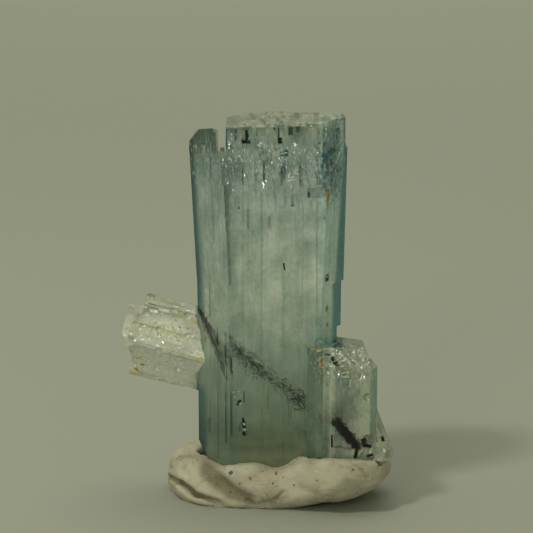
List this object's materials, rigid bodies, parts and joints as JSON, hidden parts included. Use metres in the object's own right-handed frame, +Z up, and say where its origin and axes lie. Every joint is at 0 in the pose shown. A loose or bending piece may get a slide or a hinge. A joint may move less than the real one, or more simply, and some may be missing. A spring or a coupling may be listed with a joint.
{
  "type": "aquamarine crystal",
  "caption": "Tall hexagonal aquamarine crystal, flattened, with smaller crystals grown through its side and black tourmaline inside, standing in a pressed lump of mineral tack.",
  "frame": {"origin": "under the middle of the bounding box, on the surface that the tack stands on", "axes": "+Z up along the tall crystal, +X to the right of its broad face, -Y out of the broad face towards the viewer"},
  "size_m": [0.0342, 0.0212, 0.0476],
  "materials": {
    "aquamarine": "glassy, milky inside, lengthwise growth striations",
    "schorl": "black, grooved lengthwise",
    "mineral_tack": "dull putty pressed by fingers"
  },
  "bodies": {
    "root": {"aquamarine": "aquamarine", "schorl_needle": "schorl", "schorl_rod": "schorl", "mineral_tack": "mineral_tack"}
  },
  "joints": []
}
